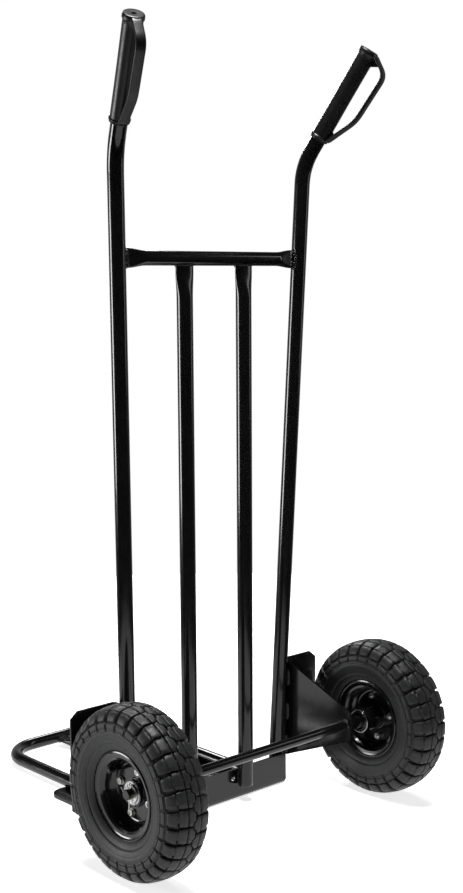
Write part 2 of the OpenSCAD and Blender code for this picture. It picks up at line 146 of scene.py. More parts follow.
def paint(name, dark, light, rough, peel):
    """Gloss black coat over steel: faint orange peel, slow colour drift, fine handling marks."""
    p = Look(name, IOR=1.5, Coat_Weight=0.15, Coat_Roughness=0.1)
    p.set("Base Color", p.ramp(p.noise(9, 4), dark, light))
    p.set("Roughness", p.spread(p.noise(46, 6, 0.65, (1, 1, 0.35)), rough[0], rough[1], 0.35, 0.72))
    p.bump(p.noise(120, 2), 0.08, peel * 2.2 * MM)
    p.bump(p.noise(420, 2), 0.05, peel * MM)
    return p.mat


def rubber(name, dark, light, rough):
    """Grey-black rubber: slow drift, patches of pale bloom, fine grain."""
    p = Look(name, IOR=1.45)
    base = p.ramp(p.noise(22, 5, 0.6), dark, light)
    bloom = p.ramp(p.noise(160, 4), dark, tuple(1.35 * c for c in light), 0.45, 0.8)
    p.set("Base Color", p.mix(base, bloom, p.noise(7, 2)))
    p.set("Roughness", p.spread(p.noise(300, 4), rough[0], rough[1]))
    p.bump(p.noise(700, 4), 0.35, 0.12 * MM)
    p.bump(p.noise(2400, 2), 0.4, 0.05 * MM)
    return p.mat


def plastic(name):
    """Moulded cover: satin black with slow gloss changes and rubbed patches."""
    p = Look(name, IOR=1.46)
    p.set("Base Color", p.ramp(p.noise(14, 3), (0.004, 0.004, 0.0044), (0.008, 0.008, 0.0085)))
    p.set("Roughness", p.spread(p.noise(34, 3, 0.5), 0.30, 0.42))
    p.bump(p.noise(60, 1), 0.04, 0.05 * MM)
    return p.mat


def plated(name, tint, rough):
    """Bare bright metal: fine brushed grain and small changes of gloss."""
    p = Look(name, Metallic=1.0)
    p.set("Base Color", p.ramp(p.noise(380, 5), tuple(0.78 * c for c in tint), tint))
    p.set("Roughness", p.spread(p.noise(900, 4, 0.6), rough[0], rough[1]))
    p.bump(p.noise(1300, 3, 0.5, (1, 3, 1)), 0.2, 0.03 * MM)
    return p.mat


finish = {
    "black_paint": paint("coat_black", (0.0022, 0.0022, 0.0026), (0.0045, 0.0045, 0.005), (0.12, 0.22), 0.05),
    "rim_paint": paint("coat_rim", (0.003, 0.003, 0.0034), (0.006, 0.006, 0.0068), (0.12, 0.22), 0.06),
    "grip_plastic": plastic("grip_black"),
    "tyre_rubber": rubber("tyre_grey", (0.0078, 0.008, 0.0083), (0.0145, 0.015, 0.0155), (0.42, 0.58)),
    "tube_rubber": rubber("valve_black", (0.006, 0.006, 0.006), (0.012, 0.012, 0.012), (0.4, 0.55)),
    "zinc_steel": plated("zinc_bright", (0.80, 0.80, 0.77), (0.2, 0.38)),
    "bearing_steel": plated("steel_ground", (0.62, 0.63, 0.64), (0.16, 0.3)),
}
slots = {row["node"]: row["material_slot"] for row in frame["record"]["subparts"]}
for name, ob in cad.items():
    ob.data.materials.clear()
    ob.data.materials.append(finish[slots[name]])


# ---------------------------------------------------------------- mesh helpers
class Shape:
    """Closed shells collected into one mesh, in millimetres."""

    def __init__(self):
        self.verts, self.faces = [], []

    def skin(self, rings, loop=False, caps=True):
        """Joins rings of equal length, the first to the last too if loop is true."""
        first, n = len(self.verts), len(rings[0])
        for ring in rings:
            self.verts.extend(ring)
        for i in range(len(rings) if loop else len(rings) - 1):
            a, b = first + i * n, first + (i + 1) % len(rings) * n
            for k in range(n):
                m = (k + 1) % n
                self.faces.append((a + k, a + m, b + m, b + k))
        if caps and not loop:
            self.faces.append(tuple(first + k for k in reversed(range(n))))
            self.faces.append(tuple(first + (len(rings) - 1) * n + k for k in range(n)))

    def piece(self, name, slot, body, replaces=(), crease=35.0, flip=False):
        """Makes the object, gives it the finish of its slot, hangs it on its body and hides the parts it
        replaces; flip mirrors it to the -X side.
        """
        me = bpy.data.meshes.new(name)
        side = -1 if flip else 1
        me.from_pydata([(side * v[0] * MM, v[1] * MM, v[2] * MM) for v in self.verts], [], self.faces)
        bm = bmesh.new()
        bm.from_mesh(me)
        bmesh.ops.recalc_face_normals(bm, faces=bm.faces)
        bm.to_mesh(me)
        bm.free()
        me.polygons.foreach_set("use_smooth", [True] * len(me.polygons))
        me.set_sharp_from_angle(angle=math.radians(crease))
        me.materials.append(finish[slot])
        ob = bpy.data.objects.new(name, me)
        scene.collection.objects.link(ob)
        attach(ob, body)
        if replaces:
            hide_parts(*replaces)


def smoothstep(t):
    t = max(0.0, min(1.0, t))
    return t * t * (3 - 2 * t)


def resample(points, step):
    """Points at equal spacing along an open line."""
    points = [Vector(p) for p in points]
    lengths = [0.0]
    for a, b in zip(points, points[1:]):
        lengths.append(lengths[-1] + (b - a).length)
    n = max(2, round(lengths[-1] / step))
    out, j = [], 0
    for i in range(n + 1):
        want = lengths[-1] * i / n
        while j < len(points) - 2 and lengths[j + 1] < want:
            j += 1
        span = lengths[j + 1] - lengths[j] or 1.0
        out.append(points[j].lerp(points[j + 1], (want - lengths[j]) / span))
    return out


def rounded_line(points, radii, n=8):
    """An open line whose inner corners are eased over the given lengths."""
    points = [Vector(p) for p in points]
    out = [points[0]]
    for i in range(1, len(points) - 1):
        a, b, c = points[i - 1:i + 2]
        p, q = b + (a - b).normalized() * radii[i - 1], b + (c - b).normalized() * radii[i - 1]
        for k in range(n + 1):
            t = k / n
            out.append(p * (1 - t) ** 2 + b * 2 * t * (1 - t) + q * t * t)
    return out + [points[-1]]


def frames(path):
    """Tangent and two square directions at each point, without twist."""
    out, u = [], None
    for i, p in enumerate(path):
        t = (path[min(i + 1, len(path) - 1)] - path[max(i - 1, 0)]).normalized()
        if u is None:
            u = t.orthogonal().normalized()
        u = (u - t * u.dot(t)).normalized()
        out.append((p, t, u, t.cross(u)))
    return out


def hoop(centre, u, v, radius, n):
    """Circle of n points in the plane of u and v."""
    return [centre + (u * math.cos(TAU * k / n) + v * math.sin(TAU * k / n)) * radius for k in range(n)]


def wire(shape, path, radius, n=10, step=0.8):
    """Round wire along a line, with rounded ends."""
    rows = frames(resample(path, step))
    rings = []
    for i, (p, _, u, v) in enumerate(rows):
        edge = min(i, len(rows) - 1 - i)
        rings.append(hoop(p, u, v, radius * (0.55, 0.88, 1.0)[min(edge, 2)], n))
    shape.skin(rings)


def bead(shape, path, radius, pitch=2.6, rough=0.12, n=10):
    """A weld bead: overlapping ripples along a line, uneven, tapered at both ends."""
    per_ripple, per_sway = 5, 6         # rows of points
    rows = frames(resample(path, pitch / per_ripple))
    total = len(rows) - 1
    phase = rng.random()
    sway = [rng.uniform(-1, 1) for _ in range(total // per_sway + 3)]
    rings = []
    for i, (p, _, u, v) in enumerate(rows):
        ripple = abs(math.sin(math.pi * (i / per_ripple + phase)))
        k, part = divmod(i / per_sway, 1)
        drift = sway[int(k)] * (1 - part) + sway[int(k) + 1] * part
        ends = smoothstep(min(i, total - i) / 4 * 0.9 + 0.15)
        r = radius * (0.80 + 0.22 * ripple + rough * drift) * (0.35 + 0.65 * ends)
        rings.append(hoop(p, u, v, r, n))
    shape.skin(rings)


def blob(shape, centre, radius):
    """A small solid drop of spatter or weld crown."""
    rows, n = 6, 10
    rings = []
    for i in range(1, rows):
        a = math.pi * i / rows
        rings.append([Vector(centre) + Vector((math.sin(a) * math.cos(TAU * k / n),
                                               math.sin(a) * math.sin(TAU * k / n),
                                               math.cos(a))) * radius for k in range(n)])
    shape.skin(rings)


def oval(centre, u, v, half_u, half_v, power, n=48, dent=0.0):
    """Superellipse ring; dent pulls in the two flat sides along u."""
    ring = []
    for k in range(n):
        c, s = math.cos(TAU * k / n), math.sin(TAU * k / n)
        a = half_u * math.copysign(abs(c) ** power, c)
        b = half_v * math.copysign(abs(s) ** power, s)
        a *= 1 - dent * math.exp(-(2.2 * s) ** 2)
        ring.append(Vector(centre) + Vector(u) * a + Vector(v) * b)
    return ring


def sweep(start, span, n):
    """n + 1 angles from a start over a span, both given in degrees."""
    return [math.radians(start + span * k / n) for k in range(n + 1)]


def mids(node):
    """Middle and size of a node's box, in millimetres."""
    lo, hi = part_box(node)
    return (lo + hi) / 2 / MM, (hi - lo) / MM


# ---------------------------------------------------------------- driving sizes, as in the part's source
wheel_mid, wheel_size = mids("tyre_left")
WHEEL_X, AXLE_Y, AXLE_Z = wheel_mid
TYRE_R, TYRE_HALF = wheel_size.z / 2, wheel_size.x / 2
bar_mid, bar_size = mids("crossbar")
BAR_R, FLARE = 11.0, bar_size.z / 2     # crossbar, and half the height of its flattened ends
LOOP_R = 11.0                           # tube of the toe loop
MID_BAR_R = 8.0
TUBE_R, WALL = 12.5, 1.5                # uprights and inner tubes
FOOT_X, BEND = 160.5, Vector((191.0, 36.5, 1038.0))
CROSS_Z = bar_mid.z
CROSS_Y = BEND.y * CROSS_Z / BEND.z
CROSS_X = FOOT_X + (BEND.x - FOOT_X) * CROSS_Z / BEND.z
HANDLE = Vector((0.253, 0.601, 1.0)).normalized()


def upright(z):
    """Centre of the +X upright at a height below the bend."""
    return Vector((FOOT_X + (BEND.x - FOOT_X) * z / BEND.z, BEND.y * z / BEND.z, z))


def inner_face(y, z):
    """X of the +X upright's surface on the side of the crossbar."""
    c = upright(z)
    return c.x - math.sqrt(TUBE_R ** 2 - (y - c.y) ** 2)


def about_axle(x, r, angle, centre=(0, 0)):
    """Point at radius r about the axle's line, or about a line that stands off it by centre."""
    return Vector((x, AXLE_Y + centre[0] + r * math.cos(angle), AXLE_Z + centre[1] + r * math.sin(angle)))


# ---------------------------------------------------------------- tyres
PITCHES = 30
PITCH = TAU * TYRE_R / PITCHES
CLEAR = 0.12                            # the tread stays this far inside the CAD's tyre
R, W = TYRE_R - CLEAR, TYRE_HALF - CLEAR
# (radius, offset from the wheel's middle), from the crown down one side
OUTLINE = [(R, 0), (R - 0.4, 10), (R - 1.6, 18), (R - 4, 25), (R - 8.5, W - 7), (R - 15, W - 3),
           (R - 24, W - 0.5), (R - 33, W), (R - 42, W - 1), (R - 51, W - 4), (R - 59, W - 7.6),
           (R - 63, W - 10.5)]
REACH = [0.0]                           # distance round from the crown to each corner of the outline
for (r0, a0), (r1, a1) in zip(OUTLINE, OUTLINE[1:]):
    REACH.append(REACH[-1] + math.hypot(r1 - r0, a1 - a0))


def outline(s):
    """Radius and offset of the tyre's outside at distance s round from the crown."""
    d, side = abs(s), (1 if s >= 0 else -1)
    i = 0
    while i < len(REACH) - 2 and REACH[i + 1] < d:
        i += 1
    t = min(1.0, (d - REACH[i]) / (REACH[i + 1] - REACH[i]))
    (r0, a0), (r1, a1) = OUTLINE[i], OUTLINE[i + 1]
    return r0 + (r1 - r0) * t, (a0 + (a1 - a0) * t) * side


def on_tyre(s, u, depth):
    """Point at s from the crown and u along the tread, that far below the outside."""
    r, a = outline(s)
    rb, ab = outline(s - 1.5)
    rf, af = outline(s + 1.5)
    t = Vector((rf - rb, af - ab)).normalized()
    r -= t.y * depth
    a += t.x * depth
    return about_axle(WHEEL_X + a, r, u / TYRE_R)


# (distance from the crown, depth of the floor there)
GROOVE = [(0, 3.8), (26, 4.3), (40, 5.0), (44.5, 4.2), (47.5, 1.5), (59, 1.3), (62.5, 0.15), (68, 0.15),
          (69, 0.6), (70, 0.15), (79, 0.15), (80.2, 0.9), (81.4, 0.2), (92, 0.2)]


def groove(s):
    """Depth of the floor at distance s round from the crown."""
    d = abs(s)
    for (s0, g0), (s1, g1) in zip(GROOVE, GROOVE[1:]):
        if d <= s1:
            return g0 + (g1 - g0) * (d - s0) / (s1 - s0)
    return GROOVE[-1][1]


def block(shape, side, shift, rows, top=0.0, base=4.6, ease=0.55, across=4):
    """A tread block. rows are (s, u from, u to) in order; its top follows the tyre's outside."""
    s_list = []
    for (s0, *_), (s1, *_) in zip(rows, rows[1:]):
        n = max(1, round((s1 - s0) / 3.2))
        s_list += [s0 + (s1 - s0) * k / n for k in range(n)]
    s_list.append(rows[-1][0])
    lo, hi = rows[0][0], rows[-1][0]

    def edges(s):
        for (s0, a0, b0), (s1, a1, b1) in zip(rows, rows[1:]):
            if s <= s1:
                t = (s - s0) / (s1 - s0)
                return a0 + (a1 - a0) * t, b0 + (b1 - b0) * t
        return rows[-1][1:]

    def grid(grow, depth):
        out = []
        for s in s_list:
            a, b = edges(s)
            at = lo - grow if s == lo else hi + grow if s == hi else s
            out.append([on_tyre(side * at, shift + side * (a - grow + (b - a + 2 * grow) * k / across), depth)
                        for k in range(across + 1)])
        return out

    def rim(g):
        """The outer edge of a grid, once round."""
        return g[0] + [row[-1] for row in g[1:-1]] + g[-1][::-1] + [row[0] for row in g[1:-1]][::-1]

    crown = grid(-ease, top)
    first = len(shape.verts)
    cols = across + 1
    for row in crown:
        shape.verts.extend(row)
    for i in range(len(crown) - 1):
        for k in range(across):
            a = first + i * cols + k
            shape.faces.append((a, a + 1, a + cols + 1, a + cols))
    upper = rim([[first + i * cols + k for k in range(cols)] for i in range(len(crown))])
    # an eased edge below the top, then flanks that flare a little towards the groove's floor
    flare = 0.45
    for g in (rim(grid(0, top + ease * 0.9)), rim(grid(flare, base))):
        start, n = len(shape.verts), len(g)
        shape.verts.extend(g)
        lower = [start + k for k in range(n)]
        for k in range(n):
            m = (k + 1) % n
            shape.faces.append((upper[k], upper[m], lower[m], lower[k]))
        upper = lower
    shape.faces.append(tuple(upper))


def tyre(side_name, flip):
    """Carcass and tread; the blocks stand on the carcass and stay inside the CAD's envelope."""
    shape = Shape()
    # carcass at groove depth, closed inside the rim by a lip of (radius, offset)
    s_rows = [-91.6, -88, -85, -82, -81.2, -80.2, -79.2, -76, -73, -70.3, -69, -67.7, -65, -62.5, -60,
              -57, -53, -49, -47.5, -45, -42, -38, -34, -30, -26, -21, -16, -11, -5.5, 0]
    s_rows += [-s for s in s_rows[-2::-1]]
    around = 180
    lip = [(63.9, 25.0), (60.0, 20.0), (60.0, -20.0), (63.9, -25.0)]
    rings = []
    for j in range(around):
        u = TAU * TYRE_R * j / around
        rings.append([on_tyre(s, u, groove(s)) for s in s_rows]
                     + [about_axle(WHEEL_X + a, r, u / TYRE_R) for r, a in lip])
    shape.skin(rings, loop=True)
    p, gap = PITCH, 2.6                 # gap between blocks along the tread
    h, w = 0.5 * p - gap / 2, 0.5 * p   # half a block, half a pitch
    for k in range(PITCHES):
        for side in (1, -1):
            at = p * k + (0 if side > 0 else p / 2)
            # crown block, its inner end locking between those of the other side
            block(shape, side, at, [(-1.2, -0.17 * p, 0.17 * p), (3.7, -0.33 * p, 0.33 * p), (4.0, -h, h),
                                    (10.3, -h, h)], ease=0.6)
            # intermediate block, with a jog in its edge
            block(shape, side, at, [(12.2, 0.9 - h, h - 0.4), (18.2, 0.9 - h, h - 0.4),
                                    (19.8, 2.1 - h, h + 0.6), (26.2, 2.0 - h, h + 0.3)], ease=0.7)
            # shoulder lug
            block(shape, side, at, [(28.2, 1.5 - h, h - 1.1), (33, 1.8 - h, h - 1.5),
                                    (42.8, 2.4 - h, h - 2.0), (45.4, 4.0 - h, h - 3.8)], ease=1.1)
            # ties that bridge the two narrow grooves; the outer one keeps two short gaps
            block(shape, side, at, [(10.0, -1.5, 1.5), (12.5, -1.5, 1.5)], top=0.9, across=1)
            x = 1.9 - h
            for wide in (1.1, 1.1, 13.6):
                block(shape, side, at, [(25.7, x, x + wide), (28.7, x, x + wide)],
                      top=0.35, across=1, ease=0.25)
                x += wide + 1.8         # the short gap
            # shallow sidewall marks
            block(shape, side, at, [(49.1, 2.4 - w, w - 2.4), (56.4, 2.9 - w, w - 2.9)], base=2.2, ease=0.35)
            block(shape, side, at, [(57.6, 2.9 - w, w - 2.9), (60.8, 3.6 - w, w - 3.6)],
                  top=0.25, base=2.0, ease=0.3)
            # rib lines down the sidewall between the lugs
            block(shape, side, at + side * p / 2, [(44.8, -0.35, 0.35), (60.5, -0.3, 0.3)],
                  top=0.3, base=2.4, ease=0.2, across=1)
    shape.piece("tyre_tread_" + side_name, "tyre_rubber", "wheel_" + side_name, ["tyre_" + side_name],
                crease=48, flip=flip)


# ---------------------------------------------------------------- wheel hardware
ACROSS_FLATS = 10.0                     # rim bolts and nuts
BOLT_CIRCLE = 34.0                      # its radius
HUB_R = 20.0
DISC_OUT, DISC_IN = WHEEL_X + 1.95, WHEEL_X - 1.95
VALVE_LEAD = math.radians(65)           # from a bolt round to the valve


def lathe_x(shape, profile, n, centre):
    """Solid of revolution about a line along X; profile is (x, radius) from end to end."""
    shape.skin([[about_axle(x, r, TAU * k / n, centre) for k in range(n)] for x, r in profile])


def hexagon(shape, x0, x1, flats, centre, turn, hollow=0.0):
    """Hex head or nut between two planes, its outer corners turned down."""
    s = 1 if x1 > x0 else -1
    corner, chamfer, n = flats / math.sqrt(3), 1.0, 24
    profile = [(x0, corner * 0.97), (x0 + s * 0.3, corner), (x1 - s * chamfer, corner), (x1, corner * 0.87)]
    if hollow:
        profile += [(x1, hollow), (x1 - s * 0.9, hollow * 0.94)]
    rings = []
    for x, r in profile:
        ring = []
        for k in range(n):
            a = TAU * k / n + turn
            sector = (a - turn) % (TAU / 6) - TAU / 12
            hexed = (flats / 2) / math.cos(sector)
            ring.append(about_axle(x, min(r, hexed), a, centre))
        rings.append(ring)
    shape.skin(rings)


def rim_fixings(side_name, flip):
    """Four flanged bolts and their nuts, at the turn that the place of the valve gives."""
    stem, _ = mids("valve_" + side_name)
    stem_angle = math.atan2(stem.z - AXLE_Z, stem.y - AXLE_Y)
    head_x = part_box("rim_bolts_left")[1].x / MM
    nut_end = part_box("rim_nuts_left")[0].x / MM
    flange_r, shank_r, shank_end = 6.4, 3.05, WHEEL_X - 11
    bolts, nuts = Shape(), Shape()
    for k in range(4):
        a = stem_angle - VALVE_LEAD + TAU / 4 * k
        c = (BOLT_CIRCLE * math.cos(a), BOLT_CIRCLE * math.sin(a))
        turn = rng.uniform(0, 1)
        lathe_x(bolts, [(DISC_OUT, flange_r), (DISC_OUT + 0.9, flange_r), (DISC_OUT + 1.2, flange_r - 0.3)],
                36, c)
        hexagon(bolts, DISC_OUT + 1.1, head_x, ACROSS_FLATS, c, turn, hollow=3.2)
        lathe_x(bolts, [(shank_end, 2.3), (shank_end + 0.8, shank_r), (DISC_OUT, shank_r)], 20, c)
        hexagon(nuts, DISC_IN - 0.1, nut_end, ACROSS_FLATS, c, turn + 0.4)
    for shape, name in ((bolts, "bolts_"), (nuts, "nuts_")):
        shape.piece(name + side_name, "zinc_steel", "wheel_" + side_name, ["rim_" + name + side_name],
                    25, flip)


def hub_seam(side_name, flip):
    """Beads where the hub barrel is welded to the discs, both faces."""
    seam = Shape()
    for x in (DISC_OUT + 0.2, DISC_IN - 0.2):
        for half in (0, 1):
            bead(seam, [about_axle(x, HUB_R + 0.4, TAU * (k / 40 + half / 2)) for k in range(20)], 1.7)
    seam.piece("hub_seam_" + side_name, "rim_paint", "wheel_" + side_name, flip=flip)


def bearing_lip(side_name, flip):
    """Rolled lip of the inboard bearing, the bright ring at the hub's end."""
    lip = Shape()
    end_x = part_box("hub_left")[0].x / MM
    lip_r, half_wide, half_tall = 18.7, 0.9, 0.7
    around, n = 72, 10
    lip.skin([[about_axle(end_x - 0.1 + half_tall * math.sin(TAU * j / n),
                          lip_r + half_wide * math.cos(TAU * j / n), TAU * k / around) for j in range(n)]
              for k in range(around)], loop=True)
    lip.piece("bearing_lip_" + side_name, "bearing_steel", "wheel_" + side_name, crease=60, flip=flip)


def valve(side_name, flip):
    """Stem, collar and ribbed cap."""
    mid, size = mids("valve_" + side_name)
    c = (mid.y - AXLE_Y, mid.z - AXLE_Z)
    x0, x1 = abs(mid.x) - size.x / 2, abs(mid.x) + size.x / 2
    shape = Shape()
    lathe_x(shape, [(x0, 3.6), (x0 + 9, 3.6), (x0 + 10, 4.1), (x0 + 11.5, 4.1), (x0 + 12.5, 3.3),
                    (x1 - 8, 3.2)], 24, c)
    n, rib = 48, 0.25
    cap = [(x1 - 8.2, 3.7), (x1 - 7.8, 4.1), (x1 - 1.2, 4.1), (x1 - 0.4, 3.6), (x1, 2.6)]
    shape.skin([[about_axle(x, r - (rib if k % 4 < 2 else 0), TAU * k / n, c) for k in range(n)]
                for x, r in cap])
    shape.piece("valve_stem_" + side_name, "tube_rubber", "wheel_" + side_name, ["valve_" + side_name],
                30, flip)


def cotter(side_name, flip):
    """Split pin through the axle's end, one leg straight, one folded round the axle."""
    x = mids("split_pin_left")[0].x
    pin_r = 0.95
    pin = Shape()
    eye = [(0, 9.4), (2.0, 11), (3.1, 13.2), (2.2, 15.6), (0, 16.4), (-2.2, 15.6), (-3.1, 13.2),
           (-2.0, 11), (0, 9.4)]
    leg = [(pin_r, 10), (pin_r, -10), (1.2, -16), (0.4, -23.2)]
    fold = [(-pin_r, 10), (-pin_r, -8.6), (-3.6, -10.6), (-8.2, -8.2), (-10.6, -3.0), (-13.2, 2.4),
            (-16.4, 6.2)]
    for line in (eye, leg, fold):
        wire(pin, [(x, AXLE_Y + y, AXLE_Z + z) for y, z in line], pin_r)
    pin.piece("cotter_" + side_name, "zinc_steel", "frame", ["split_pin_" + side_name], 60, flip)


# ---------------------------------------------------------------- frame tubes with pressed ends
RAIL_OFF = 2.6                          # inner tubes' tops, behind the middle of the crossbar


def crossbar():
    """Round in the middle, pressed to a dented flare at both ends."""
    half_end = 4.6
    press_from, press_run = CROSS_X - 52, 34
    steps = 80
    shape = Shape()
    rings = []
    for i in range(-steps, steps + 1):
        t = i / steps
        x = math.copysign(abs(t) ** 0.75, t) * (CROSS_X - 5) if i else 0.0
        press = smoothstep((abs(x) - press_from) / press_run)
        half_y = BAR_R + (half_end - BAR_R) * press
        half_z = BAR_R + (FLARE - BAR_R) * press
        rings.append(oval((x, CROSS_Y, CROSS_Z), (0, 1, 0), (0, 0, 1), half_y, half_z,
                          1 - 0.28 * press, dent=0.30 * press))
    shape.skin(rings)
    shape.piece("crossbar_tube", "black_paint", "frame", ["crossbar"], 60)


def inner_tube(side_name, flip):
    """From the toe flange up to the crossbar, its top pressed flat across the truck."""
    lo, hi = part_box("inner_tube_left")
    x = (lo.x + hi.x) / 2 / MM
    foot = Vector((x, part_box("toe_plate")[1].y / MM + TUBE_R, lo.z / MM))
    head = Vector((x, CROSS_Y + RAIL_OFF, CROSS_Z - 4))
    axis = head - foot
    length = axis.length
    axis.normalize()
    u = Vector((1, 0, 0))
    v = axis.cross(u).normalized()
    wide, thick = 17.2, 4.1             # half sizes of the pressed top
    press_from, press_run = length - 58, 40
    fine = 62                           # length of the closely spaced rings
    bore, ease, deep = TUBE_R - WALL, 0.4, 60
    shape = Shape()
    # the open foot: up the bore, round the eased rim, and on to the outside
    rings = [oval(foot + axis * d, u, v, r, r, 1)
             for d, r in ((deep, bore), (ease, bore), (0, bore + ease), (0, TUBE_R - ease), (ease, TUBE_R))]
    steps = [6] + [length * k / 24 for k in range(1, 22)]
    steps += [length - fine + fine * k / 26 for k in range(27)]
    for d in sorted(steps):
        press = smoothstep((d - press_from) / press_run)
        rings.append(oval(foot + axis * d, u, v, TUBE_R + (wide - TUBE_R) * press,
                          TUBE_R + (thick - TUBE_R) * press, 1 - 0.25 * press))
    shape.skin(rings)
    shape.piece("inner_rail_" + side_name, "black_paint", "frame", ["inner_tube_" + side_name], 60, flip)


def loop_bar():
    """Middle bar of the toe loop, its front end pressed flat against the loop."""
    lo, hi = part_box("loop_mid_bar")
    z = lo.z / MM + MID_BAR_R + 0.3
    front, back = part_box("toe_loop")[0].y / MM + LOOP_R, hi.y / MM
    press_from, press_run = front + 46, 30
    steps = 40
    shape = Shape()
    rings = []
    for k in range(steps + 1):
        y = back + (front - back) * (1 - (1 - k / steps) ** 1.7)
        press = smoothstep((press_from - y) / press_run)
        rings.append(oval((0, y, z), (1, 0, 0), (0, 0, 1), MID_BAR_R + 4 * press,
                          MID_BAR_R - 4.4 * press, 1 - 0.25 * press))
    shape.skin(rings)
    shape.piece("loop_bar", "black_paint", "toe_loop", ["loop_mid_bar"], 60)


# ---------------------------------------------------------------- grips
def grip(side_name, flip):
    """Moulded sleeve, collar and end cap along the handle, and the strap that guards the hand."""
    start = 48.0                        # along the handle from the bend
    turn = math.radians(20)             # of the strap, outwards from straight back
    out = Vector((math.sin(turn), math.cos(turn), 0))
    out = (out - HANDLE * out.dot(HANDLE)).normalized()
    lat = HANDLE.cross(out)
    base = BEND + HANDLE * start

    def at(along, off, side=0.0):
        return base + HANDLE * along + out * off + lat * side

    shape = Shape()
    # (radius, distance along)
    profile = [(12.6, 9.0), (12.6, 0.5), (13.0, 0.05), (14.3, 0.05), (15.1, 0.6), (15.3, 1.3), (15.1, 2.1),
               (14.7, 2.5), (14.9, 2.9), (15.6, 3.3), (16.0, 4.0), (16.0, 5.2), (15.7, 6.1), (15.0, 6.8),
               (14.5, 7.3), (14.45, 9), (14.3, 40), (14.15, 78), (14.3, 116), (14.45, 140), (14.5, 146.6),
               (14.9, 147.3), (15.6, 148.1), (16.0, 149.2), (16.0, 152.4), (15.7, 154.0), (15.0, 155.2),
               (14.0, 155.85), (12.8, 156), (8, 155.75), (3.6, 155.7), (3.1, 155.3), (3.0, 154.6),
               (3.0, 149.0)]
    n = 56
    shape.skin([[at(a, r * math.cos(TAU * k / n), r * math.sin(TAU * k / n)) for k in range(n)]
                for r, a in profile])
    # hand guard: a flat strap with rounded edges
    line = rounded_line([(9, 152.2), (14.5, 152.2), (44.2, 135.2), (40.3, 53.8), (14.8, 3.9), (9, 3.9)],
                        [3, 13, 13, 5])
    line = resample([(p.x, p.y, 0) for p in line], 3.2)
    rings = []
    for i, p in enumerate(line):
        t = (line[min(i + 1, len(line) - 1)] - line[max(i - 1, 0)]).normalized()
        square = Vector((t.y, -t.x, 0))
        near_root = max(0.0, 1 - min(i, len(line) - 1 - i) / 7)
        half_w, half_t = 7.9 - 0.5 * (1 - near_root), 2.35 + 0.45 * near_root
        ring, n = [], 24
        for k in range(n):
            c, s = math.cos(TAU * k / n), math.sin(TAU * k / n)
            w = half_w * math.copysign(abs(c) ** 0.35, c)
            h = half_t * math.copysign(abs(s) ** 0.55, s)
            q = p + square * h
            ring.append(at(q.y, q.x, w))
        rings.append(ring)
    shape.skin(rings)
    # gussets at both roots of the strap
    for corners in ([(13.2, 149.0), (27.5, 141.5), (13.2, 134.0)], [(13.2, 8.0), (21.5, 17.5), (13.2, 24.0)]):
        shape.skin([[at(a, off, w) for off, a in corners] for w in (-1.4, 1.4)])
    shape.piece("grip_cover_" + side_name, "grip_plastic", "frame", ["grip_" + side_name], 32, flip)


